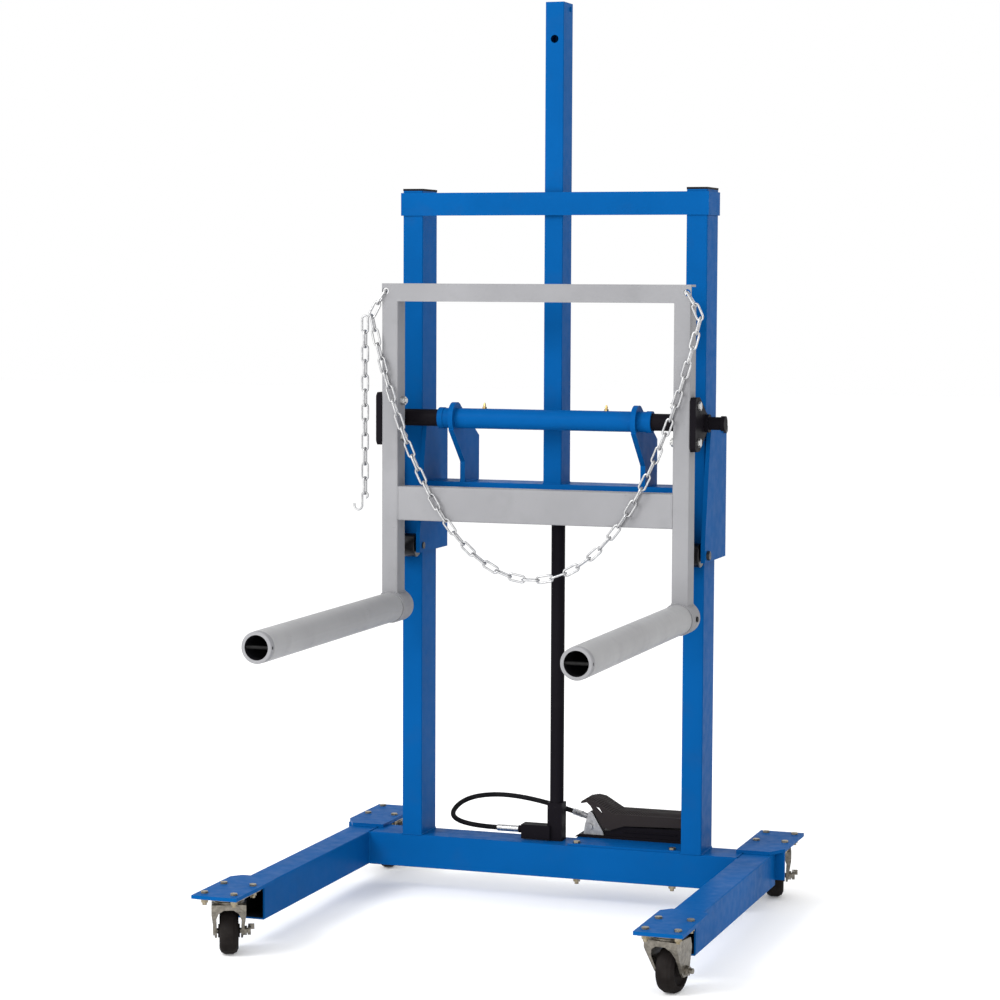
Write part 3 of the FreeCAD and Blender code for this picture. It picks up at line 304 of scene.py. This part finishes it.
def new_object(name, mesh, material, body):
    obj = bpy.data.objects.new(name, mesh)
    bpy.context.scene.collection.objects.link(obj)
    obj.data.materials.clear()
    obj.data.materials.append(material)
    for polygon in getattr(mesh, "polygons", []):
        polygon.use_smooth = True
    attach(obj, body)
    return obj


BEAD_PITCH = 0.0045
BEAD_SIDES = 8


def bead_mesh(name, points, radius, closed, seed):
    """A weld bead: a lumpy ridge of overlapping drops along a line of points."""
    chance = random.Random(seed)
    path = []
    for a, b in zip(points, points[1:] + (points[:1] if closed else [])):
        steps = max(1, round((b - a).length / BEAD_PITCH))
        for i in range(steps):
            path.append((a.lerp(b, i / steps), (b - a).normalized()))
    if not closed:
        path.append((points[-1], path[-1][1]))
    mesh = bpy.data.meshes.new(name)
    bm = bmesh.new()
    rings = []
    for point, way in path:
        side = way.orthogonal().normalized()
        up = way.cross(side)
        for half in (0, 1):
            swell = radius * (1.0 if half == 0 else 0.86) * (1 + chance.uniform(-0.07, 0.07))
            shift = way * (BEAD_PITCH * 0.5 * half)
            ring = []
            for k in range(BEAD_SIDES):
                angle = 2 * math.pi * k / BEAD_SIDES
                outward = side * math.cos(angle) + up * math.sin(angle)
                ring.append(bm.verts.new(point + shift + outward * swell))
            rings.append(ring)
    if not closed:
        rings.pop()
    total = len(rings)
    for i in range(total if closed else total - 1):
        one, two = rings[i], rings[(i + 1) % total]
        for k in range(BEAD_SIDES):
            after = (k + 1) % BEAD_SIDES
            bm.faces.new((one[k], one[after], two[after], two[k]))
    if not closed:
        bm.faces.new(list(reversed(rings[0])))
        bm.faces.new(rings[-1])
    bm.normal_update()
    bmesh.ops.recalc_face_normals(bm, faces=bm.faces)
    bm.to_mesh(mesh)
    bm.free()
    return mesh


# ---- hose -----------------------------------------------------------------------------------

HOSE_ROUTE = [(28, 114, 201), (-120, 176, 224), (-284, 190, 208), (-286, 61, 160), (-150, 61, 160)]
HOSE_DIAMETER = 0.012


def make_hose():
    curve = bpy.data.curves.new("hose_line", "CURVE")
    curve.dimensions = "3D"
    spline = curve.splines.new("NURBS")
    spline.points.add(len(HOSE_ROUTE) - 1)
    for point, where in zip(spline.points, HOSE_ROUTE):
        point.co = (*place(*where), 1)
    spline.order_u = 3
    spline.use_endpoint_u = True
    spline.resolution_u = 24
    curve.bevel_depth = HOSE_DIAMETER / 2
    curve.bevel_resolution = 6
    obj = bpy.data.objects.new("pressure_hose", curve)
    bpy.context.scene.collection.objects.link(obj)
    curve.materials.append(LOOKS["hose_rubber"])
    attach(obj, "base")
    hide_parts("hose")


# ---- weld beads -----------------------------------------------------------------------------

def weld(name, corners, body, slot, closed=False, radius=2.2):
    points = [place(*corner) for corner in corners]
    mesh = bead_mesh(name, points, radius * MM, closed, len(name))
    new_object(name, mesh, LOOKS[slot], body)


def ring_of(x_low, y_low, x_high, y_high, z):
    return [(x_low, y_low, z), (x_high, y_low, z), (x_high, y_high, z), (x_low, y_high, z)]


def make_welds():
    for side, sign in (("left", -1), ("right", 1)):
        low, high = sorted((sign * 325, sign * 375))
        weld(f"weld_upright_{side}", ring_of(low, 0.8, high, 100, 140.8),
             "base", "blue_paint", True)
        weld(f"weld_beam_{side}", [(sign * 461, 0, 63), (sign * 461, 0, 140.5),
                                   (sign * 461, 54, 140.5)], "base", "blue_paint")
        weld(f"weld_front_plate_{side}", [(sign * 468, -595, 141), (sign * 524, -595, 141)],
             "base", "blue_paint")
        weld(f"weld_rear_plate_{side}", [(sign * 464, 55, 141), (sign * 524, 55, 141)],
             "base", "blue_paint")
        for edge in (218, 230):
            weld(f"weld_ear_{side}_{edge}", [(sign * edge, 8, 1003.5), (sign * edge, 99, 1003.5)],
                 "lift", "blue_paint")
        weld(f"weld_low_bar_{side}", [(sign * 335, -139.6, 921), (sign * 335, -139.6, 998.6),
                                      (sign * 335, -100, 998.6)], "tilt", "grey_paint", radius=1.8)
        weld(f"weld_top_bar_{side}", [(sign * 337, -90, 1434), (sign * 373, -90, 1434)],
             "tilt", "grey_paint", radius=1.8)
        weld(f"weld_socket_{side}", [(sign * 335, -140, 746.4), (sign * 352, -140, 750.4),
                                     (sign * 368, -140, 746.8), (sign * 375, -140, 742.6),
                                     (sign * 375, -90, 742.6), (sign * 368, -90, 746.8),
                                     (sign * 352, -90, 750.4), (sign * 335, -90, 746.4)],
             "tilt", "grey_paint", True, 1.8)
    weld("weld_post", ring_of(-22.5, 8, 22.5, 80, 1003.6), "lift", "blue_paint", True)


# ---- treadle --------------------------------------------------------------------------------

TREADLE_TOP = [(54, 231.6), (70, 235.1), (88, 232.1), (131, 206.6), (136, 206.1), (320, 206.1)]
RIDGE_PITCH = 6.2
RIDGE_RADIUS = 1.3
RIDGE_LENGTH = 88
TREADLE_MIDDLE_Y = 137


def make_treadle_ridges():
    """Low ribs across the treadle's whole upper face, so that a shoe doesn't slip."""
    mesh = bpy.data.meshes.new("treadle_ridges")
    bm = bmesh.new()
    carried = 0.0
    for (x0, z0), (x1, z1) in zip(TREADLE_TOP, TREADLE_TOP[1:]):
        run = math.hypot(x1 - x0, z1 - z0)
        distance = carried
        while distance < run:
            share = distance / run
            middle = place(x0 + (x1 - x0) * share, TREADLE_MIDDLE_Y, z0 + (z1 - z0) * share)
            across = Matrix.Translation(middle) @ Matrix.Rotation(math.pi / 2, 4, "X")
            bmesh.ops.create_cone(bm, cap_ends=True, segments=10, radius1=RIDGE_RADIUS * MM,
                                  radius2=RIDGE_RADIUS * MM, depth=RIDGE_LENGTH * MM, matrix=across)
            distance += RIDGE_PITCH
        carried = distance - run
    bm.to_mesh(mesh)
    bm.free()
    new_object("treadle_ridges", mesh, SPECIAL["pump_treadle"], "treadle")


# ---- stage ----------------------------------------------------------------------------------

AZIMUTH = math.radians(18.77)
PITCH = math.radians(4.51)
ROLL = math.radians(0.24)
CAMERA = (2007.1, -6280.8, 1485.5)
LENS = 100.54


def make_camera():
    data = bpy.data.cameras.new("camera")
    data.lens = LENS
    data.sensor_width = 36
    data.clip_end = 100
    camera = bpy.data.objects.new("camera", data)
    bpy.context.scene.collection.objects.link(camera)
    forward = Vector((-math.sin(AZIMUTH) * math.cos(PITCH), math.cos(AZIMUTH) * math.cos(PITCH),
                      -math.sin(PITCH)))
    right = Vector((math.cos(AZIMUTH), math.sin(AZIMUTH), 0))
    up = right.cross(forward)
    level_right = right * math.cos(ROLL) + up * math.sin(ROLL)
    level_up = up * math.cos(ROLL) - right * math.sin(ROLL)
    turn = Matrix((level_right, level_up, -forward)).transposed().to_4x4()
    camera.matrix_world = Matrix.Translation(place(*CAMERA)) @ turn
    bpy.context.scene.camera = camera


def area_light(name, where, target, size, power):
    data = bpy.data.lights.new(name, "AREA")
    data.shape = "RECTANGLE"
    data.size, data.size_y = size
    data.energy = power
    light = bpy.data.objects.new(name, data)
    bpy.context.scene.collection.objects.link(light)
    light.location = where
    way = Vector(target) - Vector(where)
    light.rotation_euler = way.to_track_quat("-Z", "Y").to_euler()


def make_stage():
    mesh = bpy.data.meshes.new("floor")
    bm = bmesh.new()
    bmesh.ops.create_grid(bm, x_segments=1, y_segments=1, size=30)
    bm.to_mesh(mesh)
    bm.free()
    floor = bpy.data.objects.new("floor", mesh)
    bpy.context.scene.collection.objects.link(floor)
    m = Nodes("pale_floor")
    m.link(m.ramp(m.noise(1.5, 3), 0.3, 0.7, (0.90, 0.90, 0.90), (0.93, 0.93, 0.93)),
           m.shader.inputs["Base Color"])
    m.shader.inputs["Roughness"].default_value = 0.8
    m.shader.inputs["Emission Color"].default_value = (1, 1, 1, 1)
    m.shader.inputs["Emission Strength"].default_value = 0.12
    mesh.materials.append(m.material)

    world = bpy.data.worlds.new("studio")
    world.use_nodes = True
    world.node_tree.nodes["Background"].inputs["Color"].default_value = (1, 1, 1, 1)
    world.node_tree.nodes["Background"].inputs["Strength"].default_value = 1.0
    bpy.context.scene.world = world
    bpy.context.scene.view_settings.view_transform = "Standard"
    area_light("key", (-3.0, -4.0, 4.2), (0, 0, 0.9), (2.6, 2.6), 260)
    area_light("front", (0.6, -6.0, 2.0), (0, 0, 1.0), (3.0, 2.0), 90)
    area_light("rim", (2.5, 3.5, 3.5), (0, 0, 1.0), (2.0, 2.0), 40)


dress_frame()
make_hose()
make_welds()
make_treadle_ridges()
make_camera()
make_stage()
